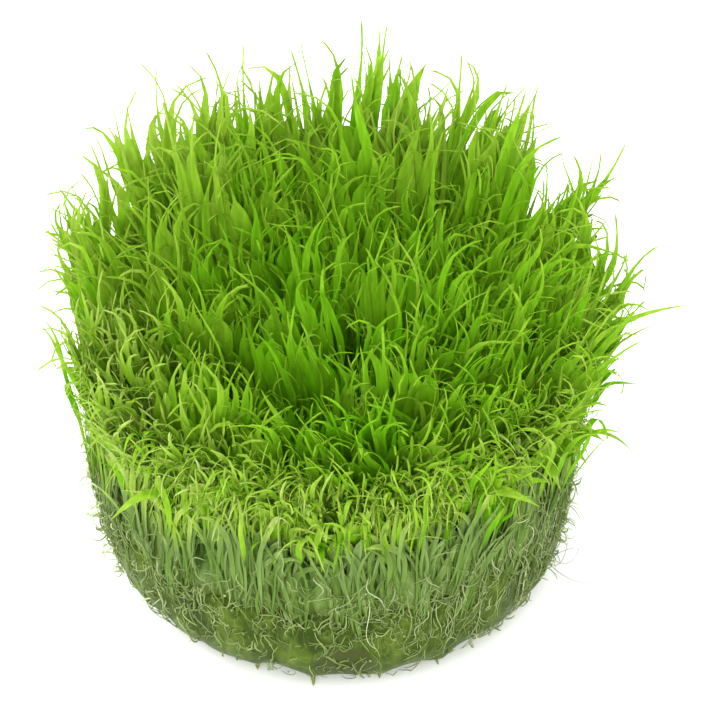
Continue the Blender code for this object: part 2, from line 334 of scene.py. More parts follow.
def felt_skin():
    """Radius, height, hollow and streak over the felt: the wall's radius less a step back that grows upwards,
    less the hollows, plus the streaks. The streaks are a random field drawn out along the lean of the stalks.
    Hollows open between the bundles from 20 mm up, and from 28 mm up all of the skin is set back. The hollow
    value also gives these places a dark green painted shade. On the left the painted shade is weaker and the
    streaks are painted lighter, as painted light from the left."""
    angle = np.linspace(0, 2 * pi, FELT_SIDES, endpoint=False)
    height = np.repeat((FELT_RINGS * MM + FELT_FOOT)[:, None], FELT_SIDES, axis=1)
    radius = wall_radius(height, angle)
    combed = angle - stalk_lean(angle) * (height - FELT_FOOT) / radius
    drawn = polar(radius, combed, 0.15 * height)
    streak = np.clip(0.6 * dapple(drawn, 1.1 * MM, 3) + 0.5 * dapple(drawn, 0.5 * MM, 4), -1, 1)
    between = ease(dapple(drawn, 2.6 * MM, 5), 0.0, 0.6) * ease(height, 20 * MM, 26 * MM)
    hollow = np.maximum(between, 0.9 * ease(height, 24.5 * MM, 28 * MM))
    back = 0.9 + 1.8 * ease(height, 22 * MM, 31 * MM) + 4.0 * hollow
    radius = radius + (0.35 * streak - back) * MM
    radius[0] *= 0.5
    radius[-len(FELT_CROWN) :] *= np.array(FELT_CROWN)[:, None]
    # Painted light: on the left the painted shade of the hollows is weaker and the streaks are painted
    # lighter, where more light falls from the left.
    left = ease(-np.cos(angle), 0.2, 0.8)
    return radius, height, hollow * (1 - 0.3 * left), 0.5 + 0.5 * streak + 0.1 * left


# The hollow value carries the painted shade of the hollows into the felt's colour.
*felt_grid, hollow, streak = felt_skin()
felt = turned_body("felt_skin", *felt_grid, felt_material(), hollow=hollow, streak=streak)
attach(felt, "root")
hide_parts("runner_felt")

# Runners on the wall
# The plant's stolons: soft pale threads 0.1 to 0.5 mm thick, whose curled ends, loops and hooks cover the
# wall of the felt and the jelly, half sunk in it. Long ones hang down, and a few thin hairs stand out.

LOWEST_POINT = 0.4 * MM
ALL_ROUND = None
# Each group's count, angles' middle and spread in radians, heights in mm as wall_heights takes them, whether
# it hangs, lengths in mm, curl in radians, thinnest and thickest thread in mm, and tint's mean and spread.
FELT_THREADS = (
    (1700, ALL_ROUND, (8, 17, 28), False, (2, 6), 1.1, (0.14, 0.28), (0.45, 0.16)),
    (110, (-0.8, 0.5), (16, 28), True, (6, 15), 0.4, (0.16, 0.28), (0.7, 0.15)),
)
JELLY_THREADS = (
    (600, ALL_ROUND, (1, 9, 15), False, (1.5, 5), 1.3, (0.16, 0.34), (0.36, 0.13)),
    (70, ALL_ROUND, (8, 16), True, (5, 12), 0.5, (0.16, 0.28), (0.6, 0.15)),
)
# The same without hanging and curl. Those at the left and right edges are the palest.
HOOKS = (
    (420, ALL_ROUND, (2, 14, 31), (1.0, 2.8), (0.1, 0.22), (0.45, 0.18)),
    (150, (pi, 0.3), (4, 22), (1.5, 4), (0.2, 0.5), (0.9, 0.12)),
    (90, (-0.1, 0.35), (3, 28), (1.5, 4.5), (0.15, 0.4), (0.75, 0.2)),
)
TRAPS = 60


def runner_material(name, stops):
    """Runners: threads of wet see-through tissue, pale cream-green while they live, with a soft gloss."""
    material, tree = new_material(name)
    tint = add(tree, "Attribute", attribute_name="tint").outputs["Fac"]
    colour = add(tree, "ValToRGB", {0: tint}, stops)
    face = add(
        tree, "BsdfPrincipled", {"Base Color": colour}, Roughness=0.4, IOR=1.38, Specular_IOR_Level=0.2
    )
    through = add(tree, "BsdfTranslucent", {"Color": colour})
    both = add(tree, "MixShader", {1: face, 2: through}, Fac=0.3)
    add(tree, "OutputMaterial", {"Surface": both})
    return material


def headings(points):
    """The direction of each path at its points, from the points before and after."""
    return unit(np.gradient(points, axis=1))


def strand_mesh(points, side, width, thickness, sides):
    """Closed strands along paths: an oval ring of points at each station, width across side and thickness
    across the normal to it, drawn to a point at both ends. Returns points, quads, triangles, and for each
    point the share of the length and the nearness to the edge: the size of its corner's cosine."""
    count, rings = len(points), points.shape[1] - 2
    face = np.cross(side, headings(points))
    corner = np.linspace(0, 2 * pi, sides, endpoint=False)[:, None]
    reach = side[:, 1:-1, None, :] * (width[:, 1:-1] / 2)[..., None, None] * np.cos(corner)
    lift = face[:, 1:-1, None, :] * (thickness[:, 1:-1] / 2)[..., None, None] * np.sin(corner)
    ovals = (points[:, 1:-1, None, :] + reach - lift).reshape(count, -1, 3)
    verts = np.concatenate([points[:, :1], ovals, points[:, -1:]], axis=1)
    per = verts.shape[1]
    first = (np.arange(count) * per)[:, None, None]
    quads = (ring_quads(rings, sides) + 1 + first).reshape(-1, 4)
    ends = np.concatenate([end_fan(0, 1, sides)[:, ::-1], end_fan(per - 1, per - 1 - sides, sides)])
    triangles = (ends + first).reshape(-1, 3)
    share = np.concatenate([[0], np.repeat(np.arange(1, rings + 1), sides), [rings + 1]]) / (rings + 1)
    edge = np.concatenate([[0.5], np.tile(np.abs(np.cos(corner[:, 0])), rings), [0.5]])
    return verts.reshape(-1, 3), quads, triangles, np.tile(share, count), np.tile(edge, count)


def crease_edges(mesh, edge):
    """Marks the long edges of flat strands sharp, so that a blade is shaded as two flat faces."""
    ends = np.empty(2 * len(mesh.edges), np.int32)
    mesh.edges.foreach_get("vertices", ends)
    sharp = (edge[ends.reshape(-1, 2)] > 0.9).all(axis=1)
    mesh.attributes.new("sharp_edge", "BOOLEAN", "EDGE").data.foreach_set("value", sharp)


def join_strands(name, parts, material):
    """One mesh from groups of strands, each given as points, quads, triangles, green, tint and edge."""
    starts = np.cumsum([0] + [len(part[0]) for part in parts[:-1]])
    points, green, tint, edge = (np.concatenate([part[k] for part in parts]) for k in (0, 3, 4, 5))
    faces = [np.concatenate([part[k] + start for part, start in zip(parts, starts)]) for k in (1, 2)]
    piece = mesh_piece(name, points, faces, material, green=green, tint=tint, edge=edge)
    crease_edges(piece.data, edge)
    return piece


def threads(points, side, width, tint, sides=3):
    """Round threads as one group of strands, with one tint each."""
    verts, quads, triangles, share, edge = strand_mesh(points, side, width, width, sides)
    return verts, quads, triangles, 0 * share, np.repeat(tint, len(share) // len(tint)), 0 * edge


def mostly_thin(dice, span, count):
    """Widths in a range in mm, mostly near its thin end: the share of the range is a random one squared."""
    return (span[0] + (span[1] - span[0]) * dice.uniform(0, 1, count) ** 2)[:, None] * MM


def wall_angles(dice, about, count):
    """Random angles: all round the wall, or normal about a middle with a spread."""
    return dice.normal(*about, count) if about else dice.uniform(-pi, pi, count)


def wall_heights(dice, span, count):
    """Random heights in mm: even between two, or peaked at the middle one of three."""
    return dice.uniform(*span, count) if len(span) == 2 else dice.triangular(*span, count)


def wall_walk(angle, height, course, length, lift):
    """Paths that creep over the wall. course is the direction at each station, 0 sideways and a quarter turn
    upwards, so the steps are its cosine along the wall and its sine in height. lift stands off the wall."""
    step = (length / (course.shape[1] - 1))[:, None]
    along = np.cumsum(np.cos(course), axis=1) * step
    up = np.clip(height[:, None] + np.cumsum(np.sin(course), axis=1) * step, 0.5 * MM, None)
    turned = angle[:, None] + along / wall_radius(up, angle[:, None])
    return wall_points(turned, up, lift)


def waves(dice, count, sizes, rates, s, phase):
    """Waves of random size and rate along the length: size times the sine of rate times s plus phase."""
    size = dice.uniform(*sizes, (count, 1))
    return size * np.sin(dice.uniform(*rates, (count, 1)) * s + phase)


def creeping_runners(dice, count, about, heights, hangs, lengths, curl, thick, tint):
    """Curled threads on the wall. A course starts downwards where it hangs, or else up or down within about
    half a radian. It swings steadily by curl and in waves, and the lift arches from foot to tip."""
    angle, height = wall_angles(dice, about, count), wall_heights(dice, heights, count)
    if hangs:
        way = np.full(count, -pi / 2)
    else:
        way = dice.choice((-1, 1), count) * pi / 2 + dice.normal(0, 0.5, count)
    length = dice.uniform(*lengths, count)
    s = np.linspace(0, 1, 11)[None, :]
    swing = dice.normal(0, curl, (count, 1)) * s
    wave = waves(dice, count, (0.1, 0.8), (4, 11), s, angle[:, None] * 50)
    arch = dice.gamma(2.0, 0.2, (count, 1)) * np.sin(pi * s**0.8) ** 0.8
    points = wall_walk(angle, height * MM, way[:, None] + swing + wave, length * MM, (arch - 0.25) * MM)
    outward = unit(points * np.array([1.0, 1.0, 0.0]))
    side = unit(np.cross(outward, headings(points)))
    width = mostly_thin(dice, thick, count) * (1 - 0.6 * s**3)
    return threads(points, side, width, np.clip(dice.normal(*tint, count), 0, 1))


def wall_hooks(dice, angle, height, length, thick, tint):
    """Thread ends that stand off the wall: they start outwards, and curl up, down or sideways as they go. The
    heading blends from a start to an ending with the share s, by 1 - s and by 1.3 times s to the 1.5."""
    count = len(angle)
    s = np.linspace(0, 1, 9)[None, :]
    sideways, upwards, turn_back = dice.normal(0, 1.0, (3, count))[..., None]
    outward = polar(1.0, angle, 0.0)
    around = polar(1.0, angle + pi / 2, 0.0)
    rise = np.array([0, 0, 1.0])
    start = outward * 0.8 + around * 0.7 * sideways + rise * 0.7 * upwards
    ending = outward * (0.3 + 0.5 * turn_back) - around * turn_back - rise * 1.2 * upwards
    heading = unit(start[:, None, :] * (1 - s[..., None]) + ending[:, None, :] * (1.3 * s[..., None] ** 1.5))
    foot = wall_points(angle, height * MM, -0.3 * MM)
    points = foot[:, None, :] + np.cumsum(heading, axis=1) * (length * MM / 8)[:, None, None]
    points[..., 2] = np.maximum(points[..., 2], LOWEST_POINT)
    width = mostly_thin(dice, thick, count) * (1 - 0.7 * s**2)
    side = unit(np.cross(headings(points), np.array([0.3, 0.2, 1.0])))
    return threads(points, side, width, np.clip(dice.normal(*tint, count), 0, 1))


def bladder_traps(dice, count, heights, sizes):
    """The plant's traps, globes on the threads: width is size by the root of 1 - (2 s - 1) squared."""
    angle, height = wall_angles(dice, ALL_ROUND, count), wall_heights(dice, heights, count)
    size = dice.uniform(*sizes, (count, 1)) * MM
    s = np.linspace(0, 1, 7)[None, :]
    foot = wall_points(angle, height * MM, 0.35 * MM)
    way = unit(dice.normal(0, 1, foot.shape))
    points = foot[:, None, :] + way[:, None, :] * (size * (s - 0.5))[..., None]
    side = unit(np.cross(way, np.array([0.3, 0.2, 1.0])))[:, None, :] + 0 * points
    width = size * np.sqrt(np.clip(1 - (2 * s - 1) ** 2, 0, 1))
    return threads(points, side, width, dice.uniform(0.3, 0.7, count), 6)


def jelly_spikes(dice):
    """Soft points at the lower edge's cusps, out and down. Width falls with the root of the length."""
    angle = SCALLOP_CUSPS + dice.normal(0, 0.015, len(SCALLOP_CUSPS))
    count = len(angle)
    s = np.linspace(0, 1, 9)[None, :]
    length = dice.uniform(2.4, 3.8, (count, 1)) * MM
    way = angle[:, None] + dice.normal(0, 0.35, (count, 1)) * (0.4 + s)
    way = way + dice.normal(0, 0.5, (count, 1)) * s**2
    start = polar(wall_radius(1.2 * MM, angle) - 2.6 * MM, angle, 1.3 * MM)
    points = start[:, None, :] + np.cumsum(polar(length / 8, way, -0.12 * MM), axis=1)
    points[..., 2] = np.maximum(points[..., 2], 0.35 * MM)
    width = dice.uniform(1.6, 2.6, (count, 1)) * MM * (1 - s**0.55 * 0.95)
    side = unit(np.cross(headings(points), np.array([0, 0, 1.0])))
    return threads(points, side, width, dice.uniform(0, 1, count), 6)


wall_dice = np.random.default_rng(11)
live_stops = ((0.0, "#66783a"), (0.35, "#788c4a"), (0.6, "#8ea264"), (0.85, "#a6b67c"), (1.0, "#cdd8a8"))
live_runner = runner_material("live_runner", live_stops)
dry_runner = runner_material("dried_runner", ((0.0, "#7d7c76"), (1.0, "#a9a79e")))

felt_threads = [creeping_runners(wall_dice, *group) for group in FELT_THREADS]
jelly_threads = [creeping_runners(wall_dice, *group) for group in JELLY_THREADS]
hooks = [
    wall_hooks(
        wall_dice, wall_angles(wall_dice, about, count), wall_heights(wall_dice, heights, count),
        wall_dice.uniform(*lengths, count), thick, tint,
    )
    for count, about, heights, lengths, thick, tint in HOOKS
]
traps = [bladder_traps(wall_dice, TRAPS, (3, 13, 26), (0.3, 0.5))]
for name, groups in (
    ("felt_runners", felt_threads), ("jelly_runners", jelly_threads), ("runner_hooks", hooks),
    ("bladder_traps", traps),
):
    piece = join_strands(name, groups, live_runner)
    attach(piece, "root")

hair_angles = np.radians((-32, -27, -22, -18, 186, 192, 199, 204, 120, 60))
hair_heights = np.array((13.0, 9.0, 7.0, 4.0, 9.0, 6.0, 8.0, 5.0, 8.0, 10.0))
hair_lengths = np.array((8.0, 10.0, 7.0, 8.0, 5.0, 7.0, 5.0, 6.0, 8.0, 7.0))
hair_group = wall_hooks(wall_dice, hair_angles, hair_heights, hair_lengths, (0.1, 0.16), (0.5, 0.3))
hairs = join_strands("runner_hairs", [hair_group], dry_runner)
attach(hairs, "root")

thin_jelly = runner_material("thin_jelly_points", ((0.0, "#6c7c34"), (1.0, "#98a660")))
spikes = join_strands("jelly_spikes", [jelly_spikes(wall_dice)], thin_jelly)
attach(spikes, "root")

# Leaves of the rim
# Round the edge the leaves root low in the felt. Their pale stalks climb the wall in fans, stuck to it by
# water. They turn green as they leave the felt, stand up at the sides, and arch over in front, where short
# curled leaves and threads hang over them as a fringe.

RIM_FANS = 56
STALKS_IN_FAN = 24
INNER_STALKS_IN_FAN = 9
BLADE_THICKNESS = 0.14 * MM
BLADE_SIDES = 4
ROOM_PAST_BOX = 0.8 * MM
# Count, lengths in mm, widths in mm, and the mean and spread of the arch in radians.
FRINGE_LEAVES = (700, (3.5, 7.5), (0.35, 0.9), (1.5, 1.0))
FRINGE_THREADS = (260, (6, 13), (0.22, 0.36), (2.3, 0.4))
# Angle, depth in the clump, height, length, width, way, arch and lean: degrees and millimetres.
BROAD_LEAVES = (
    (-62, 4, 31, 18, 2.6, -16, 95, 20),
    (-28, 3, 31, 11, 2.4, -40, 115, 14),
    (-23, 2, 31, 10, 2.0, -25, 100, 16),
    (-33, 3, 30, 10, 1.8, -60, 125, 14),
    (-25, 1, 30, 16, 0.9, -12, 120, 20),
    (-128, 3, 30, 16, 2.0, -150, 110, 15),
    (-8, 4, 34, 34, 1.6, 8, 62, 24),
    (60, 2, 30, 18, 2.4, 70, 110, 20),
    (120, 2, 30, 18, 2.6, 115, 110, 20),
)


def leaf_material():
    """Live leaf blade: smooth thin green tissue that light shines through, so it glows yellow-green against
    light. It has lengthwise streaks 0.9 mm wide, a darker middle than edge, and a pale grey-green stalk."""
    material, tree = new_material("live_leaf_blade")
    green, tint, edge = (
        add(tree, "Attribute", attribute_name=name).outputs["Fac"] for name in ("green", "tint", "edge")
    )
    place = add(tree, "TexCoord").outputs["Object"]
    drawn = add(tree, "Mapping", {"Vector": place}, Scale=(1.0, 1.0, 0.12))
    mottle = add(tree, "TexNoise", {"Vector": drawn}, Scale=1 / (0.9 * MM), Detail=3.0)
    stops = ((0.0, "#6cb60e"), (0.25, "#8cc61e"), (0.5, "#a6cc38"), (0.75, "#b9d05f"), (1.0, "#cedc96"))
    leafy = add(tree, "ValToRGB", {0: tint}, stops)
    pale = add(tree, "ValToRGB", {0: tint}, ((0.0, "#6b8a36"), (0.5, "#83a24c"), (1.0, "#a8c07a")))
    colour = add(tree, "Mix", {"Factor": green, 6: pale, 7: leafy}, data_type="RGBA").outputs[2]
    streaks = add(tree, "ValToRGB", {0: mottle}, ((0.35, "#d2dec4"), (0.65, "#ffffff")))
    rib = add(tree, "ValToRGB", {0: edge}, ((0.0, "#eef2e4"), (0.55, "#ffffff")))
    for shade, strength in ((streaks, 0.8), (rib, 0.7)):
        toned = {"Factor": strength, 6: colour, 7: shade}
        colour = add(tree, "Mix", toned, data_type="RGBA", blend_type="MULTIPLY").outputs[2]
    face = add(
        tree, "BsdfPrincipled", {"Base Color": colour}, Roughness=0.5, IOR=1.4, Specular_IOR_Level=0.1
    )
    through = add(tree, "BsdfTranslucent", {"Color": colour})
    both = add(tree, "MixShader", {1: face, 2: through}, Fac=0.56)
    add(tree, "OutputMaterial", {"Surface": both})
    return material


def stations(count, crowding):
    """Shares of a leaf's length from 0 to 1, closer near the tip: 1 less the crowding's power of 1 - t."""
    return 1 - (1 - np.linspace(0, 1, count)[None, :]) ** crowding


def towards(amount, way):
    """A tilt of an amount in radians towards a level direction: the amount by its cosine, and by its sine."""
    return np.stack([amount * np.cos(way), amount * np.sin(way)])


def follow_tilts(foot, s, tilt, length):
    """Paths from tilts: at each station the strand points up, tipped by the tilt's size towards the tilt's
    direction. The points are found by adding up the directions. Returns the points and the directions."""
    angle = np.hypot(*tilt) + 1e-9
    level = np.sin(angle) * tilt / angle
    heading = np.stack([*level, np.cos(angle)], axis=2)
    step = (heading[:, 1:] + heading[:, :-1]) / 2 * (length[:, None] * np.diff(s, axis=1))[..., None]
    points = np.concatenate([foot[:, None, :], foot[:, None, :] + np.cumsum(step, axis=1)], axis=1)
    return points, heading


def turned_side(heading, turn):
    """The level direction of turn, tipped as straight up is tipped to the heading: the direction less up plus
    heading, times the direction's part along the heading over 1 plus the heading's rise."""
    level = np.stack([np.cos(turn), np.sin(turn), 0 * turn], axis=2)
    part = (level * heading).sum(axis=2) / (1 + heading[..., 2] + 1e-12)
    return level - part[..., None] * (heading + np.array([0, 0, 1.0]))


def pale_height(angle):
    """How high the pale stalks reach before they turn green: 34 mm in front, 20 mm at the right and the back,
    and 5 mm less on the left."""
    return (20 + 14 * ease(-np.sin(angle), -0.1, 0.5) - 5 * ease(-np.cos(angle), 0.3, 0.8)) * MM


def share_inside(foot, points):
    """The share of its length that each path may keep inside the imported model's box and a little room: the
    least of the room from its foot to each side and the top, over how far the path goes that way. The floor
    is left out, because low points are lifted."""
    reach = points - foot[:, None, :]
    over = (np.array(cad_box[1]) + ROOM_PAST_BOX - foot) / np.maximum(reach.max(axis=1), 1e-9)
    under = (foot - np.array(cad_box[0]) + ROOM_PAST_BOX) / np.maximum(-reach.min(axis=1), 1e-9)
    return np.minimum(np.concatenate([over, under[:, :2]], axis=1).min(axis=1), 1)


def leaves_along(foot, s, tilt, length, turn, width, tint, gain):
    """Flat blades as one group of strands. The tint grows by gain, one value for each leaf, towards the tip.
    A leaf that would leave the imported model's box gets shorter and narrower by one share. Leaves are green,
    but from a radius of 34 to 37 mm on they are pale up to the height where the stalks turn green."""
    points, heading = follow_tilts(foot, s, tilt, length)
    kept = share_inside(foot, points)[:, None]
    points = foot[:, None, :] + (points - foot[:, None, :]) * kept[..., None]
    points[..., 2] = np.maximum(points[..., 2], LOWEST_POINT)
    width = width * kept
    side, thickness = turned_side(heading, turn), np.minimum(width, BLADE_THICKNESS)
    verts, quads, triangles, share, edge = strand_mesh(points, side, width, thickness, BLADE_SIDES)
    per = len(share) // len(tint)
    # Deeper green feet and paler tips: partly the leaves' own colour, partly painted shade deep in the clump
    # and painted light on the lit tips.
    tints = np.repeat(tint, per) + np.repeat(gain, per) * ease(share, 0.3, 0.95)
    turning = pale_height(np.arctan2(verts[:, 1], verts[:, 0]))
    pale = ease(np.hypot(verts[:, 0], verts[:, 1]), 34 * MM, 37 * MM)
    green = 1 - pale * (1 - ease(verts[:, 2], turning - 6 * MM, turning - 2 * MM))
    return verts, quads, triangles, green, np.clip(tints, 0, 1), edge


def rim_leaves(dice, stalks, depths):
    """Leaves that root on the wall: in each fan the feet lie close together, and the stalks lean away from
    the fan's middle. From a height of 26 mm, or 35 mm in front, a leaf arches out by a random angle, largest
    in front. It turns from pale to green after a climb that differs from place to place."""
    count = RIM_FANS * stalks
    s = stations(13, 1.15)
    fan = np.repeat(np.arange(RIM_FANS), stalks)
    fan_angle = (fan + dice.uniform(-0.4, 0.4, RIM_FANS)[fan]) * 2 * pi / RIM_FANS
    fan_height = dice.triangular(11, 14, 24, RIM_FANS)[fan] * MM
    offset = dice.normal(0, 1.0, count)
    angle = fan_angle + offset * np.radians(1.9)
    front = ease(-np.sin(angle), 0.15, 0.8)
    height = fan_height + dice.normal(0, 1.8, count) * MM
    depth = dice.uniform(*depths, count) * MM
    foot = wall_points(angle, height, depth)
    back = ease(np.sin(angle), 0.1, 0.7)
    rise = (42 - 2 * front - 4 * back + dice.normal(0, 3.5, count)) * MM
    length = np.clip(rise - height, 8 * MM, None) * dice.uniform(0.8, 1.2, count) * (1 - 0.12 * front)
    lean = dice.normal(-0.05, 0.035, count)
    arch = np.minimum(dice.gamma(2.2, 0.08 + 0.25 * front), 1.4)
    start = np.minimum(((26 + 9 * front) * MM - height) / length, 0.85)
    out = lean[:, None] + arch[:, None] * ease(s, start[:, None], 1.05)
    spread = (dice.normal(0, 0.1, count) - offset * 0.07 + stalk_lean(angle))[:, None]
    wave = waves(dice, count, (0.1, 0.5), (4, 12), s, offset[:, None] * 9)
    sideways = spread * (1 - 0.4 * s) + wave * s**0.5 + dice.normal(0, 0.8, (count, 1)) * s**2.5
    tilt = towards(out, angle[:, None]) + towards(sideways, angle[:, None] + pi / 2)
    turn = (angle + pi / 2 + dice.normal(0, 0.35, count))[:, None]
    turn = turn + dice.normal(0, 0.6, (count, 1)) * s**2
    shape = (0.35 + 0.65 * ease(s, 0, 0.25)) * (1 + 0.35 * ease(s, 0.45, 0.7))
    shape = shape * (1 - 0.6 * ease(s, 0.75, 0.95)) * (1 - ease(s, 0.92, 1.03))
    width = mostly_thin(dice, (0.35, 0.8), count) * shape
    # Painted light: rim leaves get a lighter tint in front and on the left, where more light falls.
    tint = dice.normal(0.36, 0.1, count) + 0.16 * front + 0.1 * ease(-np.cos(angle), 0.3, 0.8)
    leaves = leaves_along(foot, s, tilt, length, turn, width, tint, 0.25 + 0 * tint)
    verts = leaves[0]
    per = len(verts) // count
    climb = np.concatenate([s[0, :1], np.repeat(s[0, 1:-1], BLADE_SIDES), s[0, -1:]])
    climbed = np.repeat(height, per) + np.repeat(length, per) * np.tile(climb, count)
    turning = pale_height(np.arctan2(verts[:, 1], verts[:, 0])) + dapple(verts, 6 * MM, 22) * 3 * MM
    green = ease(climbed, turning - 3 * MM, turning + 3 * MM)
    return (*leaves[:3], green, *leaves[4:])


def fringe_leaves(dice, count, lengths, widths, bend):
    """The short leaves of the fringe in front: they root 36 to 41 mm up, just inside the wall, rise a little,
    and arch over outwards until their tips hang down over the stalks. Each swings sideways in its own way."""
    s = stations(12, 1.0)
    angle = dice.normal(-pi / 2, 0.75, count)
    height = dice.uniform(36, 41, count) * MM
    foot = wall_points(angle, height, -dice.uniform(1.2, 7, count) * MM)
    length = dice.uniform(*lengths, count) * MM
    out = dice.uniform(-0.2, 0.5, (count, 1)) + dice.normal(*bend, (count, 1)) * ease(s, 0.1, 0.9)
    wave = waves(dice, count, (0.3, 1.3), (3, 9), s, angle[:, None] * 40)
    sideways = dice.normal(0.1, 1.0, (count, 1)) + wave
    tilt = towards(out, angle[:, None]) + towards(sideways, angle[:, None] + pi / 2)
    turn = (angle + pi / 2 + dice.normal(0, 0.4, count))[:, None] + dice.normal(0, 0.8, (count, 1)) * s
    shape = (0.6 + 0.4 * ease(s, 0.0, 0.35)) * (1 - 0.5 * ease(s, 0.6, 0.9))
    width = mostly_thin(dice, widths, count) * shape * (1 - ease(s, 0.9, 1.04))
    tint = dice.normal(0.48, 0.12, count)
    leaves = leaves_along(foot, s, tilt, length, turn, width, tint, 0.22 + 0 * tint)
    return (*leaves[:3], np.ones(len(leaves[3])), *leaves[4:])


def broad_leaves():
    """The few broad leaves at the edge, given one by one: each rises, and bends by its arch to its way."""
    angle, depth, height, length, width, way, arch, lean = np.array(BROAD_LEAVES).T[:, :, None]
    angle, way, arch, lean = np.radians((angle, way, arch, lean))
    s = stations(15, 1.0)
    foot = wall_points(angle, height * MM, -depth * MM)[:, 0]
    bend = lean + arch * ease(s, 0.05, 0.95)
    shape = (0.35 + 0.65 * ease(s, 0.0, 0.45)) * (1 - ease(s, 0.5, 1.05) ** 1.3)
    tint, gain = np.full((2, len(BROAD_LEAVES)), [[0.42], [0.2]])
    turn = way + pi / 2 + 0 * s
    return leaves_along(foot, s, towards(bend, way), length[:, 0] * MM, turn, width * MM * shape, tint, gain)


live_leaf = leaf_material()
rim_dice = np.random.default_rng(21)
rim_groups = [
    rim_leaves(rim_dice, STALKS_IN_FAN, (-0.8, 0.6)),
    rim_leaves(rim_dice, INNER_STALKS_IN_FAN, (-7.0, -1.0)),
]
fringe_groups = [
    fringe_leaves(rim_dice, *FRINGE_LEAVES),
    fringe_leaves(rim_dice, *FRINGE_THREADS),
    broad_leaves(),
]
for name, groups in (("rim_leaves", rim_groups), ("fringe_leaves", fringe_groups)):
    piece = join_strands(name, groups, live_leaf)
    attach(piece, "root")

# Leaves of the tufts
# Grass-like blades 1 to 2 mm wide and fine thread-like young leaves stand in small bunches. Most leaves of a
# bunch are stuck flat together by water, with frayed tips, and others stand free and bend over.

STAND = 37.7 * MM
LEAF_FOOT = FELT_TOP - 1.5 * MM
TUFT_RINGS = (("centre", 1, 0.165), ("inner", 6, 0.435), ("middle", 12, 0.716), ("outer", 18, 1.0))
LEAF_REACH = 38.4 * MM
RIM_FOOT_LEAN = radians(8)
RIM_TIP_LEAN = radians(24)
FRONT_TIP_LEAN = radians(32)
SIDE_TIP_LEAN = radians(9)
BUNCHES = 185
INSIDE_RIM = 0.96
GATHERING = 0.6
FREE_SPREAD = 4 * MM
# The stuck leaves' tint gains towards the tip: a base, and one per share of painted light on the left and at
# the edge. The next value is that second gain for free leaves.
STUCK_GAINS = (0.22, 0.65)
PAINTED_LIGHT_GAIN = 0.5
GOLDEN_TURN = pi * (3 - sqrt(5))
# Sheets are broad films with straight tips, strips are narrow with hooked ones. Each row gives the number in
# a bunch, the shares of the full length, the widths in mm, the bending, the tail's start and the tint.
STUCK_KINDS = (
    (7, (0.6, 0.9), (1.7, 2.9), 0.2, 0.8, 0.1),
    (10, (0.78, 1.12), (0.7, 1.3), 1.0, 0.76, 0.14),
)
# Free leaves, low ones and threads: the number, the shares of the full length, the widths in mm, the bends in
# radians, the shares of its length where a leaf starts to bend, the tint and its gain towards the tip.
FREE_KINDS = (
    (3, (0.65, 1.05), (0.6, 1.0), radians(30), (0.45, 0.75), 0.22, 0.16),
    (5, (0.35, 0.7), (0.7, 1.2), radians(26), (0.3, 0.7), 0.08, 0.16),
    (3, (0.75, 1.15), (0.3, 0.6), radians(58), (0.45, 0.75), 0.26, 0.2),
)

# Bunches stand on a spiral, each a golden turn on from the last. Their broad sides follow the rim, but are
# turned towards the front. Each has its own breadth, fork, sway, lean, length, tint and hook at the tip.
bunch_dice = np.random.default_rng(31)
bunch_radius = STAND * ((np.arange(BUNCHES) + 0.5) / BUNCHES) ** 0.43 * 0.985
bunch_angle = np.arange(BUNCHES) * GOLDEN_TURN % (2 * pi)
bunch_x, bunch_y = bunch_radius * np.cos(bunch_angle), bunch_radius * np.sin(bunch_angle)
bunch_side = -np.sin(bunch_angle)
bunch_front = np.arctan2(np.cos(bunch_angle), bunch_side + 1.8 * np.sign(bunch_side))
bunch_turn = bunch_front + bunch_dice.normal(0, 0.4, BUNCHES)
bunch_breadth = bunch_dice.uniform(2.8, 5.4, BUNCHES) * MM
bunch_fork = bunch_dice.choice((0.0, 0.55), BUNCHES)
bunch_sway = bunch_dice.gamma(2.0, 0.13, BUNCHES)
bunch_waves = bunch_dice.uniform(3.5, 7.5, BUNCHES)
bunch_lean = np.minimum(bunch_dice.gamma(2.0, radians(3.5), BUNCHES), radians(12))
bunch_way = bunch_dice.uniform(0, 2 * pi, BUNCHES)
bunch_length = 1 + bunch_dice.uniform(-0.42, 0.42, BUNCHES) * (1 - 0.85 * (bunch_radius / STAND) ** 2)
bunch_tint = bunch_dice.normal(0, 0.05, BUNCHES)
bunch_hook = np.minimum(bunch_dice.gamma(1.6, radians(12), BUNCHES), radians(40))
bunch_hook_way = bunch_dice.uniform(0, 2 * pi, BUNCHES)


def bunches_in(ring, number):
    """The numbers of the bunches that stand in a tuft's patch: its ring by radius, its sector by angle."""
    shares = [0.0] + [outer for _, _, outer in TUFT_RINGS]
    sweep = 2 * pi / TUFT_RINGS[ring][1]
    inner, outer = shares[ring] * STAND, shares[ring + 1] * STAND
    turned = (bunch_angle - (number - 0.5) * sweep) % (2 * pi)
    return np.nonzero((bunch_radius >= inner) & (bunch_radius < outer) & (turned < sweep))[0]


